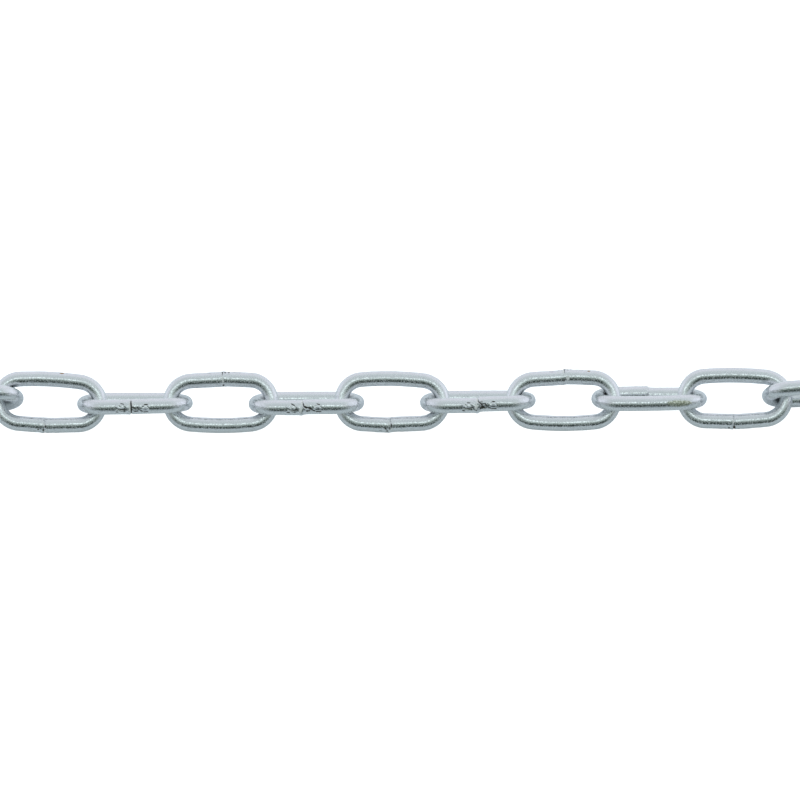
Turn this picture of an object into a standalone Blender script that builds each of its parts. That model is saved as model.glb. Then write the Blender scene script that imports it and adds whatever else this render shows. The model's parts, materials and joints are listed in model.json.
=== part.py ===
"""One metre of zinc-plated steel chain, laid out straight along X on a level floor.

Each link is one steel wire, bent to an oval and butt-welded in the middle of one leg. Its eye
holds the crowns of the links before and after it. On the floor the links lean to the two sides
in turn, at about 45 degrees, so that each one rests on one of its legs.
"""

import math

import bmesh
import bpy
import numpy as np
from mathutils import Matrix, Vector

# Driving dimensions, in metres
LINK_COUNT = 30
WIRE = 0.0060                 # wire diameter on the legs
CROWN_WIRE = 0.0056           # the bend draws the wire a little thinner at the crowns
INNER_LENGTH = 0.0344         # of a link's eye
RUNNING_GAP = 0.0002          # least, between the corners of two crowns that bear on each other
OUTER_WIDTH = 0.0244          # across the two legs, where they bow out most
CROWN_BEND = 0.0081           # bend radius of the crown's centreline
WELD_RISE = 0.0002            # the weld's collar stands this far above the wire
WELD_HALF_LENGTH = 0.0010

# How the chain lies: angles in degrees, lengths in metres
LEAN = 45.0                   # a link's plane stands up this far from the floor
LEAN_SCATTER = 1.5
LEAN_STEP = 2.4               # radians from one link to the next in the scatter's wave
STANDING_LINKS = {4: 58.0, 10: 66.0, 20: 66.0, 26: 60.0}     # a few links stand up steeper
RESTING_LINK = 13             # this link and the ones EVEN_REACH to each side lean at exactly LEAN
EVEN_REACH = 2
SWAY = 0.00235                # the chain runs this far to each side of a straight line
SWAY_LENGTH = 0.9
SWAY_START = 0.08

# Links numbered 1, 5, 9 and so on carry their weld on the leg that is off the floor, and so do
# the even ones apart from these.
EVEN_LINKS_WELDED_BELOW = (2, 8, 18, 24)

# Faceting
SECTION_SIDES = 12
CROWN_STEPS = 7
LEG_STEPS = 3

# Worked out from the sizes above. A section with this many flat sides keeps the round wire's
# area when its corners stand CORNER times the wire's radius from the middle.
CORNER = math.sqrt(2 * math.pi / (SECTION_SIDES * math.sin(2 * math.pi / SECTION_SIDES)))
HALF_LENGTH = (INNER_LENGTH + CROWN_WIRE) / 2
HALF_WIDTH = (OUTER_WIDTH - WIRE) / 2
CROWN_CENTRE = HALF_LENGTH - CROWN_BEND
LEG_BEND = (CROWN_CENTRE ** 2 + HALF_WIDTH ** 2 - CROWN_BEND ** 2) / (2 * (HALF_WIDTH - CROWN_BEND))
LEG_SWEEP = math.asin(CROWN_CENTRE / (LEG_BEND - CROWN_BEND))
QUARTER_TURN = math.pi / 2
POINTS_A_STEP = 8


def clear_scene():
    for obj in list(bpy.data.objects):
        bpy.data.objects.remove(obj, do_unlink=True)


def zinc_plate():
    """Bright, faintly blue zinc plating."""
    material = bpy.data.materials.new("zinc_plated_steel")
    material.use_nodes = True
    shader = material.node_tree.nodes["Principled BSDF"]
    shader.inputs["Base Color"].default_value = (0.62, 0.67, 0.72, 1.0)
    shader.inputs["Metallic"].default_value = 1.0
    shader.inputs["Roughness"].default_value = 0.3
    return material


def centreline(turn):
    """The wire's centre where it faces outward at this angle, on an oval of four arcs."""
    outward = Vector((math.cos(turn), math.sin(turn), 0))
    if abs(outward.x) > math.sin(LEG_SWEEP):
        middle = Vector((math.copysign(CROWN_CENTRE, outward.x), 0, 0))
        return middle + CROWN_BEND * outward
    middle = Vector((0, math.copysign(LEG_BEND - HALF_WIDTH, -outward.y), 0))
    return middle + LEG_BEND * outward


def corner_radius(turn, rise=0.0):
    """From the wire's centre there to its section's corners."""
    thinning = (WIRE - CROWN_WIRE) / 2 * math.cos(turn) ** 2
    return CORNER * (WIRE / 2 - thinning + rise)


def section(turn, rise):
    """The corners of the wire's section there, from the outward side round past the top."""
    outward = Vector((math.cos(turn), math.sin(turn), 0))
    up = Vector((0, 0, 1))
    radius = corner_radius(turn, rise)
    corners = []
    for side in range(SECTION_SIDES):
        around = 2 * math.pi * side / SECTION_SIDES
        corners.append(centreline(turn) + radius * (math.cos(around) * outward + math.sin(around) * up))
    return corners


def steps(start, end, count):
    """The angles from start up to, but not at, the end."""
    return [start + (end - start) * step / count for step in range(count)]


def crown_steps():
    """The angles round a link's front crown, up to where the welded leg starts."""
    return steps(LEG_SWEEP - QUARTER_TURN, QUARTER_TURN - LEG_SWEEP, CROWN_STEPS)


def link_mesh(material):
    """An oval link lying flat around its own centre, with its weld on the leg at +Y."""
    weld_sweep = WELD_HALF_LENGTH / LEG_BEND
    front = crown_steps()
    welded_leg = [QUARTER_TURN - LEG_SWEEP, QUARTER_TURN - weld_sweep]
    welded_leg += [QUARTER_TURN, QUARTER_TURN + weld_sweep]
    back = [turn + math.pi for turn in front]
    plain_leg = steps(3 * QUARTER_TURN - LEG_SWEEP, 3 * QUARTER_TURN + LEG_SWEEP, LEG_STEPS)

    bm = bmesh.new()
    rings = []
    for turn in front + welded_leg + back + plain_leg:
        rise = WELD_RISE if turn == QUARTER_TURN else 0.0
        rings.append([bm.verts.new(corner) for corner in section(turn, rise)])
    for ring, following in zip(rings, rings[1:] + rings[:1]):
        for side in range(SECTION_SIDES):
            after = (side + 1) % SECTION_SIDES
            bm.faces.new((ring[side], following[side], following[after], ring[after]))
    mesh = bpy.data.meshes.new("link")
    bm.to_mesh(mesh)
    bm.free()
    mesh.materials.append(material)
    mesh.shade_smooth()
    return mesh


def lean_of(number):
    """How steeply this link's plane stands, in radians."""
    if number in STANDING_LINKS:
        return math.radians(STANDING_LINKS[number])
    if abs(number - RESTING_LINK) <= EVEN_REACH:
        return math.radians(LEAN)
    return math.radians(LEAN + LEAN_SCATTER * math.sin(LEAN_STEP * number))


def roll_of(number):
    """The turn about X that brings a link from flat to its lean, with its weld where it goes."""
    odd = number % 2 == 1
    roll = lean_of(number) if odd else math.pi - lean_of(number)
    welded_below = number % 4 == 3 if odd else number in EVEN_LINKS_WELDED_BELOW
    return roll + math.pi if welded_below else roll


def sway_at(x):
    """The chain's distance from a straight line, and its heading there."""
    wave = 2 * math.pi / SWAY_LENGTH
    phase = wave * (x + SWAY_START)
    return SWAY * (1 - math.cos(phase)), math.atan(SWAY * wave * math.sin(phase))


def crown_wire():
    """Points along the straight steps of the front crown's centre, and the wire's radius there."""
    turns = crown_steps() + [QUARTER_TURN - LEG_SWEEP]
    points, radii = [], []
    for turn, following in zip(turns, turns[1:]):
        for part in steps(0.0, 1.0, POINTS_A_STEP):
            points.append(centreline(turn).lerp(centreline(following), part))
            radii.append(max(corner_radius(turn), corner_radius(following)))
    return np.array(points), np.array(radii)


def moved(points, place):
    return points @ np.array(place.to_3x3()).T + np.array(place.translation)


def distance_back(place, turned):
    """How far past a link's centre the next one's lies, with their crowns a running gap apart."""
    points, radii = crown_wire()
    front = moved(points, place)
    back = moved(points * (-1, 1, 1), turned)
    needed = radii[:, None] + radii[None, :] + RUNNING_GAP
    sideways = front[:, None, 1:] - back[None, :, 1:]
    room = np.maximum(needed ** 2 - (sideways ** 2).sum(axis=2), 0)
    touching = needed ** 2 > (sideways ** 2).sum(axis=2)
    reach = front[:, None, 0] - back[None, :, 0] - np.sqrt(room)
    return reach[touching].min()


def lowest(mesh, matrix):
    return min((matrix @ vertex.co).z for vertex in mesh.vertices)


def on_the_floor(mesh):
    """Each link's turn and height: on one leg, with its ends raised or lowered to its neighbours."""
    rolls = [Matrix.Rotation(roll_of(number), 4, "X") for number in range(1, LINK_COUNT + 1)]
    heights = [-lowest(mesh, roll) for roll in rolls]
    seats = [(low + high) / 2 for low, high in zip(heights, heights[1:])]
    seats = [heights[0]] + seats + [heights[-1]]
    laid = []
    for roll, behind, ahead in zip(rolls, seats, seats[1:]):
        tilt = Matrix.Rotation(math.atan2(behind - ahead, INNER_LENGTH), 4, "Y")
        laid.append((tilt @ roll, -lowest(mesh, tilt @ roll)))
    return laid


def link_places(mesh):
    """Each link's place in the world, as a matrix, with the chain centred on the origin."""
    places = []
    for turn, height in on_the_floor(mesh):
        x = -INNER_LENGTH * LINK_COUNT / 2
        if places:
            sway, heading = sway_at(places[-1].translation.x + INNER_LENGTH)
            turned = Matrix.Translation((0, sway, height)) @ Matrix.Rotation(heading, 4, "Z") @ turn
            x = distance_back(places[-1], turned)
        sway, heading = sway_at(x)
        places.append(Matrix.Translation((x, sway, height)) @ Matrix.Rotation(heading, 4, "Z") @ turn)

    corners = [place @ vertex.co for place in places for vertex in mesh.vertices]
    middle = Vector((
        (min(c.x for c in corners) + max(c.x for c in corners)) / 2,
        (min(c.y for c in corners) + max(c.y for c in corners)) / 2,
        0,
    ))
    return [Matrix.Translation(-middle) @ place for place in places]


def pivot_place(place, following):
    """Where the front crown's wire crosses the next link's plane, which that link swings in."""
    normal = following.col[2].xyz
    along, across = normal.dot(place.col[0].xyz), normal.dot(place.col[1].xyz)
    if across < 0:
        normal, along, across = -normal, -along, -across
    start = normal.dot(place @ Vector((CROWN_CENTRE, 0, 0)) - following.translation)
    turn = math.asin(-start / (CROWN_BEND * math.hypot(along, across))) - math.atan2(along, across)
    return Matrix.Translation(place @ centreline(turn)) @ following.to_3x3().to_4x4()


def build():
    clear_scene()
    mesh = link_mesh(zinc_plate())
    places = link_places(mesh)
    previous = None
    for number, place in enumerate(places, 1):
        link = bpy.data.objects.new(f"link_{number:02d}", mesh)
        bpy.context.collection.objects.link(link)
        link.matrix_basis = place
        if previous:
            pivot = bpy.data.objects.new(f"pivot_{number:02d}", None)
            pivot.empty_display_size = WIRE
            bpy.context.collection.objects.link(pivot)
            hinge = pivot_place(places[number - 2], place)
            pivot.parent = previous
            pivot.matrix_basis = places[number - 2].inverted() @ hinge
            link.parent = pivot
            link.matrix_basis = hinge.inverted() @ place
        previous = link


build()
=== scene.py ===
"""The looks of a metre of welded, zinc-plated steel chain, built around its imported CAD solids.

Every link is modelled again as the real thing: a round drawn wire bent to an oval, with the butt
weld, its flash and the welder's grip marks on one leg. A link's own lengths are in millimetres
until it is put where its CAD solid lies. Those of the camera, the floor and the bumps are in metres.
"""

import json
import math

import bpy
import numpy as np
from mathutils import Matrix, Vector

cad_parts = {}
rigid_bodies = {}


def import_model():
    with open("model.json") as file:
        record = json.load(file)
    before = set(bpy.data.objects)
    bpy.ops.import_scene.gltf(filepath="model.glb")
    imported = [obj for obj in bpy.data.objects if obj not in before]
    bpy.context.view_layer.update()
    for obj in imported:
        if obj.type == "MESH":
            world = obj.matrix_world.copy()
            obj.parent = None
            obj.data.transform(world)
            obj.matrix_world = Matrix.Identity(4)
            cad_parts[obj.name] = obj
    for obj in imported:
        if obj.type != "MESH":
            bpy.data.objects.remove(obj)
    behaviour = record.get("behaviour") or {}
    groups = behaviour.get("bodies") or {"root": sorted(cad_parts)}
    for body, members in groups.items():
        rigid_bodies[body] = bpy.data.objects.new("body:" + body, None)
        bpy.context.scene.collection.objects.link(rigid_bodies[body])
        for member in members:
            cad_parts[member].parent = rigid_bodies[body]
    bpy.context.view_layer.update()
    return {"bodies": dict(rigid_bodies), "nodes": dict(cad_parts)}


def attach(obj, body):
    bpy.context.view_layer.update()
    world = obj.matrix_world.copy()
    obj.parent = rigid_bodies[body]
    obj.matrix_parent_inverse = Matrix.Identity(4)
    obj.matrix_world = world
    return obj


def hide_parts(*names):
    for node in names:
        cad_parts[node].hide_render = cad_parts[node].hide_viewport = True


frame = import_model()

# The wire and the oval that it is bent to
WIRE = 6.0
CROWN_WIRE = 5.6
INNER_LENGTH = 34.4
OUTER_WIDTH = 24.25
CROWN_BEND = 8.6
HALF_LENGTH = (INNER_LENGTH + CROWN_WIRE) / 2
HALF_WIDTH = (OUTER_WIDTH - WIRE) / 2
CROWN_CENTRE = HALF_LENGTH - CROWN_BEND
LEG_BEND = (CROWN_CENTRE ** 2 + HALF_WIDTH ** 2 - CROWN_BEND ** 2) / (2 * (HALF_WIDTH - CROWN_BEND))
LEG_SWEEP = math.asin(CROWN_CENTRE / (LEG_BEND - CROWN_BEND))
LEG_REACH = LEG_BEND * LEG_SWEEP
QUARTER_TURN = math.pi / 2

# The welded leg: its halves are straighter than the plain leg, and step past each other at the
# seam. Both fade out towards the crowns.
STRAIGHTENED = 0.12
STEP_LENGTH = 0.45
STEP_FADE = 1.5               # an exponent: the higher, the sooner the step fades

# The wire's own unevenness: long swells everywhere, and a rougher stretch at the weld
SWELL = 0.012
SWELL_LENGTH = 5.0
ROUGHNESS = 0.028
ROUGH_LENGTH = 0.9
ROUGH_REACH = 3.5

# A random field is a sum of this many waves. How close their crests lie varies by these factors.
WAVE_COUNT = 40
WAVE_FACTORS = (0.6, 1.5)

# How finely a link is meshed: narrow steps round the weld, wide ones elsewhere
WELD_REACH = 7.8
FINE_STEP = 0.12
HIDDEN_FINE_STEP = 0.2        # on links that the photo doesn't show
COARSE_STEP = 0.9
FINE_SIDES = (-62.0, 78.0)    # degrees round the wire
COARSE_SIDE = 0.6
TURN_DIGITS = 9               # angles round the oval that agree to so many decimals are one

# Painted shade where two links meet: how dark it is at most, and over how much more gap it fades.
# A neighbour's crown is its wire further than this from its centre.
CONTACT_SHADE = 0.8
CONTACT_SHADE_REACH = 0.6
CROWN_REACH = 10.0

# The marks that every weld carries. A tone is how dark (above 0) or bright (below 0) a place is: dark
# in the crack, on burnt scale and, as painted shade, in pits and grooves; bright on bare metal and, as
# painted highlight, on one lip and the jaws' ridges.
CRACK_WIDTH = 0.16            # where a weld has no width of its own
CRACK_WAVER = 0.05
CRACK_WAVES = 7.0             # radians for each millimetre round the wire
CRACK_SHUT = 0.45             # how much of its mark is left on the eye's side of the wire
OPEN_SPREAD = 1.3             # radians round the wire
LIP_PLACE = 0.42              # from the crack's middle
LIP_WIDTH = 0.2
LIP_RISE = 0.12
# painted highlight on the lip at -X
LIP_HIGHLIGHT = -0.8
UPSET_RISE = 0.05
UPSET_SCATTER = 0.06
UPSET_LOBES = (2, 5, 9)       # waves in one turn round the wire
UPSET_REACH = 1.2
# painted shade in the flash's pits: the deeper, the darker
PIT_SHADE = 5.0             # of a pit in the flash, for each millimetre of its depth
MARKED_REACH = 7.4            # past it the relief dies away
MARKED_FADE = 0.1             # square millimetres

# The marks that the welding machine's jaws leave on every link: strokes as start and end on the
# unrolled wire (millimetres towards +X, degrees from outward towards the normal), then half width
# and height. The jaws are the same for each link, so the marks are too, apart from small slips and
# how deep they bit.
GRIP_MARKS = (
    ((-5.9, -8), (-4.4, 6), 0.30, 0.13),
    ((-5.6, 16), (-4.3, 26), 0.30, 0.13),
    ((-5.2, 8), (-4.5, 13), 0.24, -0.08),
    ((-5.8, 33), (-5.0, 37), 0.24, -0.08),
    ((-4.6, -22), (-3.9, -12), 0.26, 0.10),
    ((-4.0, -30), (-2.9, -28), 0.20, -0.05),
    ((-3.9, -3), (-3.0, 1), 0.26, 0.10),
    ((-4.0, 15), (-2.2, 14), 0.24, -0.10),
    ((-3.8, 29), (-2.4, 34), 0.30, 0.11),
    ((-2.5, -18), (-1.4, -4), 0.28, 0.11),
    ((-2.0, 10), (-1.5, 15), 0.24, -0.10),
    ((0.9, -6), (1.5, 0), 0.24, -0.09),
    ((1.7, 23), (2.6, 25), 0.24, -0.10),
    ((2.6, -4), (3.3, 12), 0.22, -0.10),
    ((3.5, -12), (4.2, -5), 0.28, 0.12),
    ((4.2, -18), (5.2, -19), 0.24, 0.08),
    ((4.5, 7), (5.5, 3), 0.28, 0.12),
    ((4.0, 23), (4.7, 26), 0.22, -0.09),
    ((5.3, -24), (6.4, -23), 0.22, -0.10),
    ((5.7, -5), (6.7, 5), 0.28, 0.12),
    ((6.6, -18), (7.1, -8), 0.24, 0.08),
    ((5.2, 32), (6.8, 33), 0.24, -0.07),
)
GRIP_DEPTH = 1.5              # what multiplies those heights
# painted highlight on the jaws' ridges and painted shade in their grooves
GRIP_HIGHLIGHT_AND_SHADE = -1.6
GRIP_BITE = (0.7, 1.2)
JAW_SLIP = 0.3
STROKE_SLIP = 0.1

# A link's place on the straight wire starts this far past the last one's, so no two have one grain
LINK_SPACING = 200.0
NOWHERE = 99.0                # a place along the leg that no mark reaches
SEED = 4200                   # each link adds its number to it

# The welds of the links in view. "at" is the seam's place along its leg, shift and lift say how far
# the leg's half at +X stands off the other one, outward and along the link's normal, and step is the
# length that this takes. depth and width are the crack's, and grip says how deep the jaws bit. The
# crack and the lumps and pits of the flash are placed on the unrolled wire: millimetres from the seam
# towards +X, then degrees from the outward side towards the normal. A lump's reach along the wire,
# its span in degrees and its rise follow. So are the patches placed, which the trimming left bright
# or burnt, with their tone in place of the rise.
STRAIGHT_CRACK = ((0.0, -178), (-0.1, -60), (0.1, 20), (-0.1, 100), (0.0, 178))
WELDS = {
    11: dict(
        at=-1.7, shift=-0.05, lift=0.0, depth=0.35, width=0.19, grip=0.4,
        crack=((0, -178), (0, -140), (0.3, -100), (0.5, -78)),
        lumps=((-0.5, -8, 0.5, 18, 0.16), (0.5, 5, 0.3, 14, -0.2)),
        patches=(
            (-0.2, -46, 0.35, 14, 1.3), (-2.2, -48, 0.4, 9, 1.1), (0.6, -74, 0.35, 11, 1.3),
            (0.1, -92, 0.3, 14, -1.0), (0.5, -42, 0.35, 10, -1.0), (-0.7, -100, 0.5, 9, -0.8),
        ),
    ),
    12: dict(
        at=-1.05, shift=0.05, lift=-0.06, depth=0.46, width=0.33,
        crack=((-0.1, -60), (-0.05, -40), (0.1, -10), (0.1, 30), (0.0, 80), (0, 130)),
        lumps=((-0.8, 38, 0.5, 24, 0.5), (0.8, 40, 0.6, 14, -0.08)),
        patches=((-0.6, -12, 0.28, 34, -1.5), (0.5, -30, 0.25, 20, -0.8)),
    ),
    13: dict(
        at=0.7, shift=0.2, lift=0.0, depth=0.25, grip=0.35,
        crack=((0.0, -20), (0.05, 35), (-0.1, 62)),
        lumps=((0.1, 4, 0.5, 14, 0.16), (-1.4, 8, 0.3, 10, 0.1)),
        patches=(
            (-0.1, 32, 0.4, 15, 1.1), (1.0, 36, 0.45, 12, 1.0), (2.4, 36, 0.45, 11, 0.9),
            (-0.1, 86, 0.5, 10, -0.9), (0.2, 111, 0.4, 16, -1.0), (0.4, 150, 0.4, 12, 1.3),
        ),
    ),
    14: dict(
        at=-1.25, shift=0.0, lift=-0.34, depth=0.34, width=0.23,
        crack=((-0.1, -60), (0.1, -44), (0.35, -24), (0.6, -8), (1.3, -3), (2.1, -4), (2.8, 12)),
        lumps=(
            (-0.6, 40, 0.8, 26, 0.5), (1.6, 24, 0.5, 12, -0.16), (1.2, -14, 0.5, 7, 0.12),
            (-1.7, 62, 0.3, 10, -0.12),
        ),
        patches=((-0.3, -48, 0.3, 26, -1.4), (-0.9, 8, 0.6, 22, -1.0), (1.3, -22, 0.8, 6, -1.2)),
    ),
    15: dict(
        at=-0.8, shift=-0.32, lift=0.0, depth=0.35, width=0.19, grip=0.4,
        crack=((0, -178), (0, -140), (-0.1, -112), (0.35, -90), (0.5, -76)),
        lumps=((-0.9, -12, 0.6, 16, 0.14), (0.7, -14, 0.4, 14, 0.10)),
        patches=(
            (-0.6, -94, 0.5, 12, -0.9), (0.4, -76, 0.35, 14, 1.2), (-1.8, -57, 0.4, 8, 1.2),
            (-0.2, -54, 0.35, 9, 0.9), (-1.2, -34, 0.5, 9, 1.1), (0.6, -50, 0.5, 10, -0.9),
        ),
    ),
    16: dict(
        at=-0.1, shift=0.1, lift=-0.42, depth=0.30, width=0.21,
        crack=((-0.35, -64), (0.0, -50), (0.0, -36), (0.5, -20), (1.2, -8), (2.8, -10)),
        lumps=(
            (0.0, 66, 0.9, 26, 0.36), (-0.9, 36, 0.8, 24, 0.4), (1.7, 12, 0.9, 13, -0.2),
            (2.0, 32, 0.9, 7, 0.14), (0.7, -30, 0.5, 9, 0.14),
        ),
        patches=(
            (1.3, -26, 0.8, 14, 0.6), (1.0, 24, 0.4, 10, 1.3), (1.9, 14, 0.6, 12, 1.1),
            (-0.35, -50, 0.3, 22, -1.3), (-0.8, 4, 0.6, 20, -1.0),
        ),
    ),
    17: dict(
        at=0.5, shift=0.3, lift=0.1, depth=0.25, grip=0.35,
        crack=((0.1, 0), (0, 30), (0.05, 62)),
        lumps=((0.0, 0, 0.6, 26, 0.34), (-2.2, 10, 0.4, 10, 0.14), (2.4, 12, 0.4, 10, 0.14)),
        patches=(
            (-0.5, 48, 0.5, 14, -1.1), (1.3, 104, 0.8, 18, -1.1), (-0.2, 118, 0.5, 14, 0.9),
            (-2.6, 52, 0.6, 10, -0.8), (1.2, 30, 0.5, 9, 0.8),
        ),
    ),
    18: dict(at=0.0, shift=0.1, lift=-0.55, step=0.1, depth=0.2, crack=STRAIGHT_CRACK, lumps=()),
    19: dict(
        at=-0.7, shift=0.1, lift=0.0, depth=0.3, grip=0.4,
        crack=((0, -178), (0, -120), (0.05, -98)),
        lumps=((0.15, -4, 0.32, 20, -0.6), (-0.6, -8, 0.45, 18, 0.22)),
        patches=((0.1, -36, 0.45, 20, 1.7), (-0.2, -84, 0.35, 22, -0.9), (-1.9, -28, 0.5, 10, 1.0)),
    ),
}

# A weld on a link that the photo doesn't show varies between these. Along the wire its lumps scatter
# by LUMP_SCATTER, and their angle, reach, span and rise follow as above. Its crack goes right round.
ANY_WELD = dict(at=(-1.4, 1.0), shift=(-0.25, 0.25), lift=(-0.4, 0.4), depth=(0.2, 0.4))
ANY_LUMP = ((-40, 70), (0.4, 0.9), (10, 26), (-0.16, 0.26))
LUMP_COUNT = 4
LUMP_SCATTER = 0.9
CRACK_ROUND = (-178, 178)
CRACK_POINTS = 9
CRACK_SCATTER = 0.25

# The links lie this many degrees flatter on the floor than their CAD solids do
FLATTER = 4.5

# What sets single links apart, the ones in view and link 21: the slopes of the welded and the plain
# leg (degrees, towards the link's centre at +X), the welded leg's twist out of the link's plane
# (degrees, towards the normal at +X), a further lean towards the floor (degrees), how far its
# neighbours hold it off the floor, a slide back or to the right (millimetres) and a turn on the floor
# (degrees).
UNTOUCHED = dict(slopes=(0.0, 0.0), twist=0.0, lean=0.0, raised=0.0, back=0.0, right=0.0, yaw=0.0)
TWEAKS = {
    10: dict(lean=-4.0, back=-0.05, right=0.1),
    11: dict(slopes=(0.0, 1.45), lean=5.0, raised=1.33, back=-0.725, right=-0.08),
    12: dict(twist=-1.65, lean=-1.6, back=-0.68, right=-0.05),
    13: dict(slopes=(-0.85, 0.0), lean=5.0, raised=0.46, back=0.24),
    14: dict(twist=-0.7, lean=0.7, back=-0.35),
    15: dict(slopes=(0.0, 1.4), lean=5.0, raised=0.51, back=0.09),
    16: dict(twist=-1.9, lean=-0.2, back=-0.15),
    17: dict(slopes=(-0.9, -0.6), lean=5.0, raised=0.54, back=0.13),
    18: dict(twist=-1.9, lean=0.7, raised=0.31, back=-0.16),
    19: dict(slopes=(0.0, 1.9), lean=5.0, raised=0.61, back=-0.3, right=0.1, yaw=-0.75),
    20: dict(lean=-4.0, back=0.32, right=0.42, yaw=3.5),
    21: dict(back=0.05, right=-0.5),
}

# Spots on the plating: the link, the place along its wire (millimetres from the middle of the plain or
# the welded leg towards +X) and round it (degrees from outward towards the normal), the reach along
# and round the wire, and what it is
SPOTS = (
    dict(link=11, leg="plain", x=4.6, angle=-34, reach=(0.95, 0.5), kind="rust"),
    dict(link=17, leg="welded", x=9.9, angle=37, reach=(0.6, 0.45), kind="rust"),
    dict(link=18, leg="plain", x=10.6, angle=6, reach=(5.0, 1.5), kind="scuff"),
)
SPOT_ROUGHNESS = 0.45

# The plating's noises, for each millimetre of wire, and the relief that two of them give, in metres
CLOUDS = dict(scale=0.22, detail=3.0)
STREAKS = dict(scale=1.0, detail=2.0)
STREAK_STRETCH = (0.12, 2.2, 2.2)
GRAIN = dict(scale=2.7, detail=0.0)
MOTTLE = dict(scale=1.6, detail=1.0)
RAGGED = dict(scale=1.3, detail=2.0)
GRAIN_RELIEF = 0.00003
STREAK_RELIEF = 0.00001

# From which to which value a noise or a tone works, and what it gives there if that isn't 0 and 1
CLOUD_SPAN = (0.35, 0.65)
STREAK_SPAN = (0.35, 0.7, 0.0, 0.35)
BURNT_AND_SHADE_SPAN = (0.3, 0.75, 0.0, 0.95)
BARE_AND_HIGHLIGHT_SPAN = (-0.25, -0.7)
BARE_AND_HIGHLIGHT_METALLIC = (0.0, 1.0, 1.0, 0.1)
GRAIN_ROUGHNESS = (0.42, 0.66, 0.06, 0.48)
MARK_ROUGHNESS = (0.2, 0.9, 0.0, 0.4)
WORN_SPAN = (0.4, 0.6)
SPOT_SPAN = (1.2, 1.5, 1.0, 0.0)

# The plating's colours
ZINC = (0.80, 0.82, 0.84, 1)
BLUE_ZINC = (0.83, 0.845, 0.87, 1)
DULL_ZINC = (0.77, 0.80, 0.80, 1)
# dark weld scale, also used as painted shade in pits and grooves
BURNT_AND_SHADE = (0.07, 0.066, 0.05, 1)
# bare steel, also used as painted highlight on a lip and the jaws' ridges
BARE_AND_HIGHLIGHT = (0.95, 0.96, 0.94, 1)
# painted shade where two links meet
CONTACT_SHADE_COLOUR = (0.03, 0.04, 0.045, 1)
RUST = (0.36, 0.19, 0.07, 1)
WORN_DARK = (0.40, 0.42, 0.32, 1)
WORN_PALE = (0.86, 0.88, 0.78, 1)

# The floor sheet: half its size, and where its glow and its colour change from front to back
FLOOR_HALF = 7.0
GLOW_SPAN = (-0.05, 0.07)
FLOOR_SPAN = (-0.12, -0.04)
FLOOR_FRONT = (0.3, 0.33, 0.33, 1)
FLOOR_BACK = (0.75, 0.80, 0.82, 1)
FLOOR_SEEN = (0.95, 0.95, 0.95, 1)
FLOOR_ROUGHNESS = 0.9

# The light tent: how bright it is, how much more at the right, and how far aside its flanks and then
# its sides take over, as the size of a direction's X
LIGHT = 1.405
LIGHT_TO_RIGHT = 0.08
FLANK_SPAN = (0.35, 0.60)
SIDE_SPAN = (0.60, 0.88)
TENT_SEEN = (0.6, 0.6, 0.6, 1)

# The camera looks at this link's centre, moved along the chain and up in the picture
CAMERA_ELEVATION = math.radians(50.0)
CAMERA_ROLL = math.radians(0.18)
CAMERA_DISTANCE = 2.6
VIEW_WIDTH = 0.315            # at that distance
AIMED_LINK = "link_15"
AIM_RIGHT = 0.0031
AIM_UP = 0.00027
SENSOR_WIDTH = 36.0           # millimetres
FURTHEST_SEEN = 100.0

METRE = 1000.0                # in millimetres
TIPS_FROM = 0.8               # of a CAD link's half length, where its legs are over
MIX_ONE, MIX_TWO, MIX_OUT = 6, 7, 2     # the sockets of a mix node that carry colours


def link_place(node):
    """Where a CAD link lies: its long axis as X, the way to its weld as Y, its centre as origin."""
    mesh = node.data
    mesh.calc_loop_triangles()
    points = np.array([vertex.co for vertex in mesh.vertices])
    corners = points[np.array([triangle.vertices for triangle in mesh.loop_triangles])]
    areas = np.array([triangle.area for triangle in mesh.loop_triangles])

    # the surface's own axes, the longest first
    middle = (corners.mean(axis=1) * areas[:, None]).sum(axis=0) / areas.sum()
    arms = corners - middle
    spread = np.einsum("t,tci,tcj->ij", areas, arms, arms)
    spread += np.einsum("t,ti,tj->ij", areas, arms.sum(axis=1), arms.sum(axis=1))
    axes = np.linalg.eigh(spread)[1][:, ::-1].T
    along = axes[0] * np.sign(axes[0][0])
    across = axes[1]

    # the weld's collar stands out on its side, and the link's middle across is that of its tips
    reach = (points - middle) @ across
    across = across * np.sign(reach.max() + reach.min())
    turn = np.array([along, across, np.cross(along, across)])
    local = (points - middle) @ turn.T
    tips = local[np.abs(local[:, 0]) > TIPS_FROM * local[:, 0].max()]
    offset = (local.max(axis=0) + local.min(axis=0)) / 2
    offset[1] = (tips[:, 1].max() + tips[:, 1].min()) / 2
    place = Matrix(turn.T.tolist()).to_4x4()
    place.translation = Vector(middle + offset @ turn)
    return place


def wave_field(points, wavelength, rng):
    """A smooth random field of about unit size whose bumps are about half a wavelength across."""
    ways = rng.normal(size=(WAVE_COUNT, points.shape[-1]))
    ways /= np.linalg.norm(ways, axis=1)[:, None]
    ways *= 2 * math.pi / wavelength * rng.uniform(*WAVE_FACTORS, size=(WAVE_COUNT, 1))
    waves = np.cos(points @ ways.T + rng.uniform(0, 2 * math.pi, WAVE_COUNT))
    return waves.sum(axis=-1) / math.sqrt(WAVE_COUNT / 2)


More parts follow.
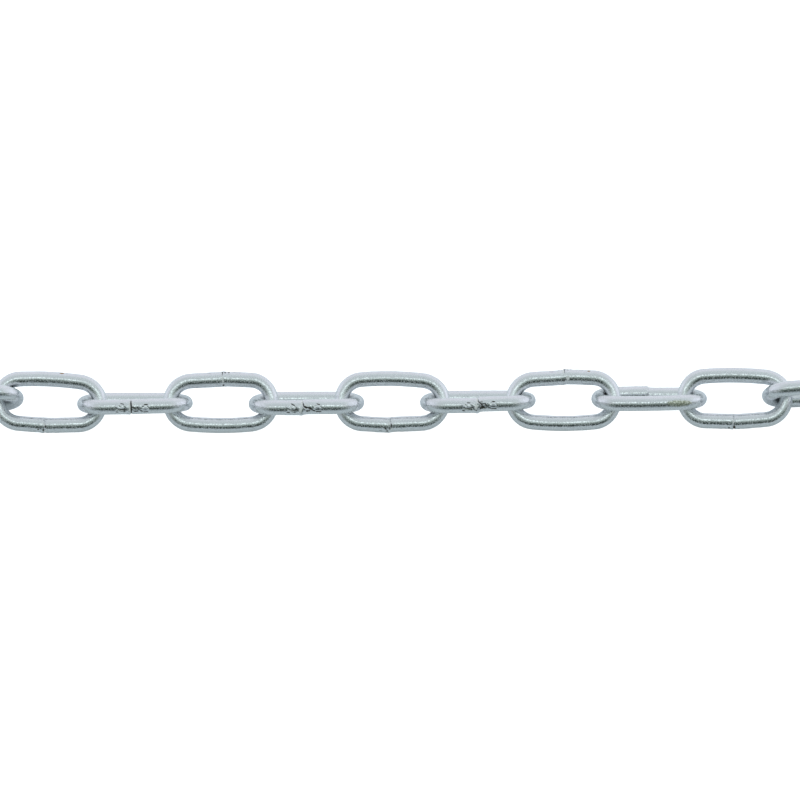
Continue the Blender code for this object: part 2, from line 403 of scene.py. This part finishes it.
def ring_turns(fine_step):
    """The angles round the oval at which the wire gets a ring, starting at the weld."""
    weld = WELD_REACH / LEG_BEND
    half_turn = (
        (0, weld, WELD_REACH / fine_step),
        (weld, LEG_SWEEP, (LEG_SWEEP - weld) * LEG_BEND / COARSE_STEP),
        (LEG_SWEEP, math.pi - LEG_SWEEP, (math.pi - 2 * LEG_SWEEP) * CROWN_BEND / COARSE_STEP),
        (math.pi - LEG_SWEEP, math.pi, LEG_REACH / COARSE_STEP),
    )
    turns = [np.linspace(start, end, round(count), endpoint=False) for start, end, count in half_turn]
    turns = np.concatenate([*turns, [math.pi]])
    both_ways = np.concatenate([turns, 2 * math.pi - turns[1:]])
    return np.unique(np.round(both_ways, TURN_DIGITS))


def side_angles(fine_step):
    """The angles round the wire, from its outward side towards the link's normal."""
    low, high = (math.radians(angle) for angle in FINE_SIDES)
    fine = round((high - low) * WIRE / 2 / fine_step)
    coarse = round((2 * math.pi - high + low) * WIRE / 2 / COARSE_SIDE)
    angles = np.linspace(low, high, fine, endpoint=False)
    return np.concatenate([angles, np.linspace(high, low + 2 * math.pi, coarse, endpoint=False)])


def centreline(turns):
    """The wire's centre and its outward direction at each angle from the weld, turning towards -X."""
    outward = np.stack([-np.sin(turns), np.cos(turns)], axis=1)
    on_leg = np.abs(outward[:, 0]) <= math.sin(LEG_SWEEP) + 10.0 ** -TURN_DIGITS
    crown = CROWN_BEND * outward
    crown[:, 0] += np.sign(outward[:, 0]) * CROWN_CENTRE
    leg = LEG_BEND * outward
    leg[:, 1] -= np.sign(outward[:, 1]) * (LEG_BEND - HALF_WIDTH)
    return np.where(on_leg[:, None], leg, crown), outward


def run_along(centres):
    """How far along the wire each ring lies, from the weld."""
    steps = np.linalg.norm(np.diff(centres, axis=0), axis=1)
    return np.concatenate([[0], np.cumsum(steps)])


def distance_to(x, v, points):
    """The distance on the unrolled wire from each place to a line through these points."""
    nearest = np.full(x.shape, np.inf)
    for start, end in zip(points, points[1:]):
        way = np.subtract(end, start)
        part = ((x - start[0]) * way[0] + (v - start[1]) * way[1]) / (way @ way)
        part = np.clip(part, 0, 1)
        nearest = np.minimum(nearest, np.hypot(x - start[0] - part * way[0], v - start[1] - part * way[1]))
    return nearest


def unrolled(degrees):
    """The distance round the wire from its outward side."""
    return math.radians(degrees) * WIRE / 2


def blot(x, v, across, degrees, reach, span):
    """1 at this place on the unrolled wire, fading to 0 around it."""
    return np.exp(-((x - across) / reach) ** 2 - ((v - unrolled(degrees)) / unrolled(span)) ** 2)


def stronger(one, two):
    """The one that lies further from 0, at each place."""
    return np.where(np.abs(two) > np.abs(one), two, one)


def grip_relief(x, v, weld, rng):
    """The height of the jaws' marks, and their tone: painted highlight on ridges, painted shade in
    grooves.
    """
    height, tone = np.zeros_like(x), np.zeros_like(x)
    slips = {side: rng.uniform(-JAW_SLIP, JAW_SLIP, size=2) for side in (-1, 1)}
    for start, end, width, rise in GRIP_MARKS:
        jitter = rng.normal(0, STROKE_SLIP, size=(2, 2)) + slips[math.copysign(1, start[0])]
        line = np.array([(start[0], unrolled(start[1])), (end[0], unrolled(end[1]))]) + jitter
        bite = weld.get("grip", 1.0) * rng.uniform(*GRIP_BITE)
        mark = bite * np.exp(-(distance_to(x, v, line) / width) ** 2)
        height += GRIP_DEPTH * rise * mark
        # ridges get a painted highlight, grooves a painted shade
        tone = stronger(tone, GRIP_HIGHLIGHT_AND_SHADE * math.copysign(1, rise) * mark)
    return height, tone


def weld_relief(x, angle, weld, rng):
    """The surface's height above the plain wire round the weld, and its tone, painted shade and highlight
    too.
    """
    v = angle * WIRE / 2
    height, tone = grip_relief(x, v, weld, rng)

    # upset metal and flash, trimmed unevenly, with painted shade in its pits
    for *place, rise in weld["lumps"]:
        lump = blot(x, v, *place)
        height += rise * lump
        # painted shade in pits, by their depth
        tone = np.maximum(tone, -PIT_SHADE * rise * lump)
    for *place, shade in weld.get("patches", ()):
        tone = stronger(tone, shade * blot(x, v, *place))
    phases = rng.uniform(0, 2 * math.pi, len(UPSET_LOBES))
    rough = sum(np.cos(lobes * angle + phase) for lobes, phase in zip(UPSET_LOBES, phases))
    rough /= len(UPSET_LOBES)
    height += (UPSET_RISE + UPSET_SCATTER * rough) * np.exp(-(x / UPSET_REACH) ** 2)

    # the crack that the two wire ends leave, and the lips beside it, of which the one at -X gets a painted
    # highlight
    line = [(across, unrolled(degrees)) for across, degrees in weld["crack"]]
    off = distance_to(x + CRACK_WAVER * np.sin(v * CRACK_WAVES + phases[0]), v, line)
    open_side = CRACK_SHUT + (1 - CRACK_SHUT) * np.exp(-(angle / OPEN_SPREAD) ** 2)
    lip = open_side * np.exp(-((off - LIP_PLACE) / LIP_WIDTH) ** 2)
    height += LIP_RISE * lip
    # painted highlight on the lip at -X only
    tone = stronger(tone, LIP_HIGHLIGHT * lip * (x < 0))
    groove = np.exp(-(off / weld.get("width", CRACK_WIDTH)) ** 2)
    height -= weld["depth"] * groove
    near = np.exp(-np.maximum(np.abs(x) - MARKED_REACH, 0) ** 2 / MARKED_FADE)
    return near * height, near * stronger(tone, groove * open_side)


def any_weld(rng):
    """A weld like the ones in view, for a link that the photo doesn't show."""
    wander = rng.normal(0, CRACK_SCATTER, size=CRACK_POINTS)
    wander[-1] = wander[0]
    lumps = []
    for _ in range(LUMP_COUNT):
        across = rng.normal(0, LUMP_SCATTER)
        lumps.append((across, *(rng.uniform(*limits) for limits in ANY_LUMP)))
    sizes = {key: rng.uniform(*limits) for key, limits in ANY_WELD.items()}
    crack = list(zip(wander, np.linspace(*CRACK_ROUND, CRACK_POINTS)))
    return dict(crack=crack, lumps=lumps, **sizes)


def tweaks_of(number):
    """Everything that can set a link apart, 0 where it doesn't."""
    return UNTOUCHED | TWEAKS.get(number, {})


def bent_wire(turns, weld, tweaks):
    """One link's own wire: its centres, the way outward, and the place along the welded leg.

    That place is measured from the leg's middle towards +X. Off the leg it is NOWHERE.
    """
    centres, outward = centreline(turns)
    signed = np.where(turns > math.pi, 2 * math.pi - turns, -turns) * LEG_BEND
    x = np.clip(signed, -LEG_REACH, LEG_REACH)

    # the step at the seam, and the straightened halves beside it
    part = np.abs(x) / LEG_REACH
    step = np.tanh((x - weld["at"]) / weld.get("step", STEP_LENGTH)) / 2
    step *= np.cos(QUARTER_TURN * part) ** STEP_FADE
    halfway = 4 * part * (1 - part)
    centres += outward * (weld["shift"] * step - STRAIGHTENED * halfway)[:, None]

    # the legs' slopes, and the welded leg's twist
    welded, plain = (math.tan(math.radians(slope)) / HALF_WIDTH for slope in tweaks["slopes"])
    centres[:, 1] *= 1 - np.where(centres[:, 1] > 0, welded, plain) * centres[:, 0]
    twist = math.tan(math.radians(tweaks["twist"])) * (1 + centres[:, 1] / HALF_WIDTH) / 2
    lift = weld["lift"] * step + twist * centres[:, 0]
    return np.column_stack([centres, lift]), outward, np.where(np.abs(signed) < LEG_REACH, x, NOWHERE)


def link_shape(number):
    """A link's points round its own centre, its wire's centres, and what its mesh carries.

    "wire" is each point's place on the straight wire, and the tone how dark or bright each point is, with
    painted shade and painted highlight. "counts" says how many rings and sides the mesh has.
    """
    rng = np.random.default_rng(SEED + number)
    weld = WELDS.get(number) or any_weld(rng)
    fine_step = FINE_STEP if number in WELDS else HIDDEN_FINE_STEP
    turns = ring_turns(fine_step)
    centres, outward, leg_x = bent_wire(turns, weld, tweaks_of(number))
    x, angle = np.meshgrid(leg_x - weld["at"], side_angles(fine_step), indexing="ij")
    height, tone = weld_relief(x, (angle + math.pi) % (2 * math.pi) - math.pi, weld, rng)

    run = np.broadcast_to(run_along(centreline(turns)[0])[:, None], angle.shape)
    wire = np.stack([run, WIRE / 2 * np.cos(angle), WIRE / 2 * np.sin(angle)], axis=-1)
    height += SWELL * wave_field(wire, SWELL_LENGTH, rng)
    close = np.exp(-(x / ROUGH_REACH) ** 2)
    height += ROUGHNESS * close * wave_field(wire, ROUGH_LENGTH, rng)
    wire[..., 0] += LINK_SPACING * number

    thinning = (WIRE - CROWN_WIRE) / 2 * outward[:, 0] ** 2
    reach = (WIRE / 2 - thinning)[:, None] + height
    points = np.repeat(centres[:, None], angle.shape[1], axis=1)
    points[..., :2] += (reach * np.cos(angle))[..., None] * outward[:, None]
    points[..., 2] += reach * np.sin(angle)
    return dict(
        points=points.reshape(-1, 3), centres=centres,
        wire=wire.reshape(-1, 3), weld_tone_and_painted_light=tone.reshape(-1), counts=angle.shape,
    )


def wrapped_faces(rings, sides):
    """The faces of a wire that closes on itself, as four point numbers each."""
    ring, side = np.meshgrid(np.arange(rings), np.arange(sides), indexing="ij")
    after, beside = (ring + 1) % rings, (side + 1) % sides
    corners = [ring * sides + side, after * sides + side, after * sides + beside, ring * sides + beside]
    return np.stack([corner.reshape(-1) for corner in corners], axis=1)


def laid_link(number):
    """A link's shape as it lies in the chain, with its points in metres, and its crowns' centres."""
    shape = link_shape(number)
    tweaks = tweaks_of(number)
    flatter = math.radians(FLATTER + tweaks["lean"]) * (-1 if number % 2 else 1)
    place = link_place(frame["nodes"][f"link_{number:02d}"]) @ Matrix.Rotation(flatter, 4, "X")
    slide = Vector((tweaks["right"], tweaks["back"], 0)) / METRE
    centre = Matrix.Translation(place.translation + slide)
    place.translation = (0, 0, 0)
    place = centre @ Matrix.Rotation(math.radians(tweaks["yaw"]), 4, "Z") @ place

    turn = np.array(place.to_3x3()).T
    crowns = shape["centres"][np.abs(shape["centres"][:, 0]) > CROWN_REACH]
    crowns = crowns / METRE @ turn + np.array(place.translation)
    points = shape["points"] / METRE @ turn + np.array(place.translation)
    sunk = points[:, 2].min() - tweaks["raised"] / METRE
    points[:, 2] -= sunk
    crowns[:, 2] -= sunk
    return shape | dict(number=number, points=points, crowns=crowns)


def contact_shade_near(points, neighbours):
    """How dark the painted contact shade is at each point: darkest where a neighbour's crown is nearest.
    """
    contact_shade = np.zeros(len(points))
    for other in neighbours:
        gap = np.full(len(points), np.inf)
        for centre in other["crowns"]:
            gap = np.minimum(gap, np.linalg.norm(points - centre, axis=1))
        past_nearest = METRE * (gap - gap.min())
        contact_shade = np.maximum(contact_shade, CONTACT_SHADE * np.exp(-(past_nearest / CONTACT_SHADE_REACH) ** 2))
    return contact_shade


def new_link(laid, neighbours, material):
    """The link's mesh, in place of its CAD node and carried by its body."""
    name = f"link_{laid['number']:02d}"
    mesh = bpy.data.meshes.new(name + "_wire")
    mesh.from_pydata(laid["points"].tolist(), [], wrapped_faces(*laid["counts"]).tolist())
    mesh.shade_smooth()
    # painted shade, darkest where a neighbour's crown comes nearest
    contact_shade = contact_shade_near(laid["points"], neighbours)
    mesh.attributes.new("wire", "FLOAT_VECTOR", "POINT").data.foreach_set("vector", laid["wire"].ravel())
    mesh.attributes.new("weld_tone_and_painted_light", "FLOAT", "POINT").data.foreach_set("value", laid["weld_tone_and_painted_light"])
    mesh.attributes.new("contact_shade", "FLOAT", "POINT").data.foreach_set("value", contact_shade)
    mesh.materials.append(material)
    link = bpy.data.objects.new(name + "_wire", mesh)
    bpy.context.scene.collection.objects.link(link)
    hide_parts(name)
    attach(link, name)


class Nodes:
    """Adds shader nodes to a tree and joins them."""

    def __init__(self, tree):
        self.tree = tree
        tree.nodes.clear()

    def add(self, kind, inputs=None, **settings):
        node = self.tree.nodes.new(kind)
        for key, value in settings.items():
            setattr(node, key, value)
        for key, value in (inputs or {}).items():
            self.put(value, node.inputs[key])
        return node

    def put(self, value, socket):
        if isinstance(value, bpy.types.NodeSocket):
            self.tree.links.new(value, socket)
        else:
            socket.default_value = value

    def attribute(self, name, output="Fac"):
        return self.add("ShaderNodeAttribute", attribute_name=name).outputs[output]

    def noise(self, place, scale, detail):
        inputs = {"Vector": place, "Scale": scale, "Detail": detail}
        return self.add("ShaderNodeTexNoise", inputs).outputs["Fac"]

    def math(self, operation, one, two=0.0):
        return self.add("ShaderNodeMath", {0: one, 1: two}, operation=operation).outputs[0]

    def ramp(self, factor, stops):
        node = self.add("ShaderNodeValToRGB", {0: factor})
        elements = node.color_ramp.elements
        while len(elements) < len(stops):
            elements.new(0.5)
        for element, (position, colour) in zip(elements, stops):
            element.position = position
            element.color = (*colour, 1)
        return node.outputs[0]

    def mix(self, factor, one, two):
        """From one colour to the other as the factor goes from 0 to 1."""
        node = self.add("ShaderNodeMix", data_type="RGBA")
        self.put(factor, node.inputs[0])
        self.put(one, node.inputs[MIX_ONE])
        self.put(two, node.inputs[MIX_TWO])
        return node.outputs[MIX_OUT]

    def span(self, value, low, high, to_low=0.0, to_high=1.0):
        """value brought from one range to another, and held inside it."""
        inputs = {0: value, 1: low, 2: high, 3: to_low, 4: to_high}
        return self.add("ShaderNodeMapRange", inputs, clamp=True).outputs[0]


def spot_mask(nodes, wire, spot):
    """1 inside a spot's ragged outline and 0 outside it."""
    half_run = 2 * LEG_REACH + (math.pi - 2 * LEG_SWEEP) * CROWN_BEND
    run = half_run + spot["x"] if spot["leg"] == "plain" else 2 * half_run - spot["x"]
    angle = math.radians(spot["angle"])
    middle = (run + LINK_SPACING * spot["link"], WIRE / 2 * math.cos(angle), WIRE / 2 * math.sin(angle))
    off = nodes.add("ShaderNodeVectorMath", {0: wire, 1: middle}, operation="SUBTRACT").outputs[0]
    along, round_it = spot["reach"]
    scale = (1 / along, 1 / round_it, 1 / round_it)
    scaled = nodes.add("ShaderNodeVectorMath", {0: off, 1: scale}, operation="MULTIPLY").outputs[0]
    away = nodes.add("ShaderNodeVectorMath", {0: scaled}, operation="LENGTH").outputs["Value"]
    return nodes.span(nodes.math("ADD", away, nodes.noise(wire, **RAGGED)), *SPOT_SPAN)


def zinc_plate():
    """Blue-passivated zinc: a cool grey metal with the grain of plated, drawn wire."""
    material = bpy.data.materials.new("zinc_plate")
    material.use_nodes = True
    nodes = Nodes(material.node_tree)
    wire = nodes.attribute("wire", "Vector")
    weld_tone_and_painted_light = nodes.attribute("weld_tone_and_painted_light")
    cloud = nodes.noise(wire, **CLOUDS)
    drawn = nodes.add("ShaderNodeMapping", {"Vector": wire, "Scale": STREAK_STRETCH}).outputs[0]
    streaks = nodes.noise(drawn, **STREAKS)
    grain = nodes.noise(wire, **GRAIN)

    cool = nodes.mix(nodes.span(cloud, *CLOUD_SPAN), ZINC, BLUE_ZINC)
    streaked = nodes.mix(nodes.span(streaks, *STREAK_SPAN), cool, DULL_ZINC)
    # darker in the crack and on burnt scale, and as painted shade in pits and grooves
    darkened = nodes.mix(nodes.span(weld_tone_and_painted_light, *BURNT_AND_SHADE_SPAN), streaked, BURNT_AND_SHADE)
    # brighter on bare metal, and as painted highlight on a lip and the jaws' ridges
    bright = nodes.span(weld_tone_and_painted_light, *BARE_AND_HIGHLIGHT_SPAN)
    colour = nodes.mix(bright, darkened, BARE_AND_HIGHLIGHT)
    # painted shade where a neighbour's crown comes near
    colour = nodes.mix(nodes.attribute("contact_shade"), colour, CONTACT_SHADE_COLOUR)

    marked = nodes.span(nodes.math("ABSOLUTE", weld_tone_and_painted_light), *MARK_ROUGHNESS)
    roughness = nodes.math("ADD", nodes.span(grain, *GRAIN_ROUGHNESS), marked)
    metallic = nodes.span(bright, *BARE_AND_HIGHLIGHT_METALLIC)
    mottle = nodes.noise(wire, **MOTTLE)
    for spot in SPOTS:
        mask = spot_mask(nodes, wire, spot)
        if spot["kind"] == "rust":
            colour = nodes.mix(mask, colour, RUST)
            metallic = nodes.math("SUBTRACT", metallic, mask)
        else:
            worn = nodes.mix(nodes.span(mottle, *WORN_SPAN), WORN_DARK, WORN_PALE)
            colour = nodes.mix(mask, colour, worn)
        roughness = nodes.math("MAXIMUM", roughness, nodes.math("MULTIPLY", mask, SPOT_ROUGHNESS))

    bump = nodes.add("ShaderNodeBump", {"Height": grain, "Strength": 1.0, "Distance": GRAIN_RELIEF})
    fine = nodes.add("ShaderNodeBump", {"Height": streaks, "Strength": 1.0, "Distance": STREAK_RELIEF})
    nodes.put(bump.outputs[0], fine.inputs["Normal"])

    shader = nodes.add("ShaderNodeBsdfPrincipled", {
        "Base Color": colour,
        "Metallic": metallic,
        "Roughness": roughness,
        "Normal": fine.outputs[0],
    })
    nodes.add("ShaderNodeOutputMaterial", {"Surface": shader.outputs[0]})
    return material


def floor_sheet():
    """A matt sheet that is white to the camera and glows on the chain, mostly from behind it."""
    material = bpy.data.materials.new("floor_sheet")
    material.use_nodes = True
    nodes = Nodes(material.node_tree)
    seen = nodes.add("ShaderNodeLightPath").outputs["Is Camera Ray"]
    place = nodes.add("ShaderNodeNewGeometry").outputs["Position"]
    y = nodes.add("ShaderNodeSeparateXYZ", {0: place}).outputs[1]
    glow = nodes.ramp(nodes.span(y, *GLOW_SPAN), (
        (0.0, (0.0, 0.0, 0.0)),
        (0.27, (0.06, 0.06, 0.055)),
        (0.42, (0.065, 0.07, 0.075)),
        (0.5, (0.07, 0.075, 0.085)),
        (1.0, (0.34, 0.34, 0.35)),
    ))
    shader = nodes.add("ShaderNodeBsdfPrincipled", {
        "Base Color": nodes.mix(nodes.span(y, *FLOOR_SPAN), FLOOR_FRONT, FLOOR_BACK),
        "Roughness": FLOOR_ROUGHNESS,
        "Specular IOR Level": 0.0,
        "Emission Color": nodes.mix(seen, glow, FLOOR_SEEN),
        "Emission Strength": 1.0,
    })
    nodes.add("ShaderNodeOutputMaterial", {"Surface": shader.outputs[0]})
    return material


def stage():
    """A plain floor under the chain."""
    mesh = bpy.data.meshes.new("floor")
    signs = ((-1, -1), (1, -1), (1, 1), (-1, 1))
    mesh.from_pydata([(FLOOR_HALF * x, FLOOR_HALF * y, 0) for x, y in signs], [], [(0, 1, 2, 3)])
    mesh.materials.append(floor_sheet())
    floor = bpy.data.objects.new("floor", mesh)
    bpy.context.scene.collection.objects.link(floor)


def studio_light():
    """Soft light from a white tent that is open towards the camera."""
    world = bpy.data.worlds.new("studio")
    world.use_nodes = True
    bpy.context.scene.world = world
    nodes = Nodes(world.node_tree)
    way = nodes.add("ShaderNodeTexCoord").outputs["Generated"]
    split = nodes.add("ShaderNodeSeparateXYZ", {0: way})
    x, y, z = split.outputs
    height = nodes.math("ARCTAN2", z, nodes.math("MULTIPLY", y, -1.0))
    around = nodes.span(height, -math.pi, math.pi)

    def shade(*stops):
        """Brightness and tint by the angle up from the front horizon, over the top and down behind."""
        return nodes.ramp(around, [((degrees + 180) / 360, colour) for degrees, colour in stops])

    # straight ahead: the dark room in the tent's opening, a bright edge, and the tent's roof
    middle = shade(
        (-14, (0.03, 0.038, 0.035)),
        (11, (0.03, 0.038, 0.035)),
        (25, (0.055, 0.07, 0.065)),
        (36, (0.14, 0.17, 0.157)),
        (48, (0.27, 0.32, 0.305)),
        (56, (0.40, 0.47, 0.46)),
        (61, (0.83, 0.94, 0.94)),
        (66, (0.83, 0.94, 0.94)),
        (70, (0.385, 0.43, 0.44)),
        (106, (0.435, 0.485, 0.50)),
        (136, (0.54, 0.565, 0.605)),
        (175, (0.56, 0.57, 0.625)),
    )
    # halfway round to each side
    flank = shade(
        (-14, (0.12, 0.15, 0.14)),
        (34, (0.12, 0.15, 0.14)),
        (50, (0.46, 0.50, 0.49)),
        (62, (0.46, 0.50, 0.50)),
        (85, (0.41, 0.455, 0.465)),
        (116, (0.49, 0.525, 0.555)),
        (175, (0.54, 0.56, 0.61)),
    )
    # along the chain
    sides = shade(
        (-14, (0.39, 0.42, 0.44)),
        (11, (0.39, 0.42, 0.44)),
        (26, (0.24, 0.265, 0.275)),
        (41, (0.20, 0.225, 0.24)),
        (50, (0.46, 0.50, 0.54)),
        (76, (0.53, 0.565, 0.62)),
        (111, (0.62, 0.65, 0.715)),
        (146, (0.62, 0.65, 0.715)),
        (175, (0.56, 0.58, 0.63)),
    )
    aside = nodes.math("ABSOLUTE", x)
    tent = nodes.mix(nodes.span(aside, *FLANK_SPAN), middle, flank)
    tent = nodes.mix(nodes.span(aside, *SIDE_SPAN), tent, sides)
    seen = nodes.add("ShaderNodeLightPath").outputs["Is Camera Ray"]
    colour = nodes.mix(seen, tent, TENT_SEEN)
    strength = nodes.math("ADD", nodes.math("MULTIPLY", x, LIGHT_TO_RIGHT), LIGHT)
    shader = nodes.add("ShaderNodeBackground", {"Color": colour, "Strength": strength})
    nodes.add("ShaderNodeOutputWorld", {"Surface": shader.outputs[0]})


def camera():
    """A long lens that looks down on the middle of the chain from the front."""
    back = Vector((0, -math.cos(CAMERA_ELEVATION), math.sin(CAMERA_ELEVATION)))
    up = Vector((0, math.sin(CAMERA_ELEVATION), math.cos(CAMERA_ELEVATION)))
    aim = link_place(frame["nodes"][AIMED_LINK]).translation + Vector((AIM_RIGHT, 0, 0)) + AIM_UP * up
    data = bpy.data.cameras.new("camera")
    data.sensor_width = SENSOR_WIDTH
    data.lens = data.sensor_width * CAMERA_DISTANCE / VIEW_WIDTH
    data.clip_end = FURTHEST_SEEN
    seer = bpy.data.objects.new("camera", data)
    bpy.context.scene.collection.objects.link(seer)
    turn = back.to_track_quat("Z", "Y").to_matrix().to_4x4() @ Matrix.Rotation(-CAMERA_ROLL, 4, "Z")
    seer.matrix_world = Matrix.Translation(aim + CAMERA_DISTANCE * back) @ turn
    bpy.context.scene.camera = seer


camera()
studio_light()
stage()
bpy.context.scene.view_settings.view_transform = "Standard"
zinc = zinc_plate()
links = [laid_link(number) for number in range(1, len(frame["bodies"]) + 1)]
for index, laid in enumerate(links):
    beside = links[max(index - 1, 0):index] + links[index + 1:index + 2]
    new_link(laid, beside, zinc)
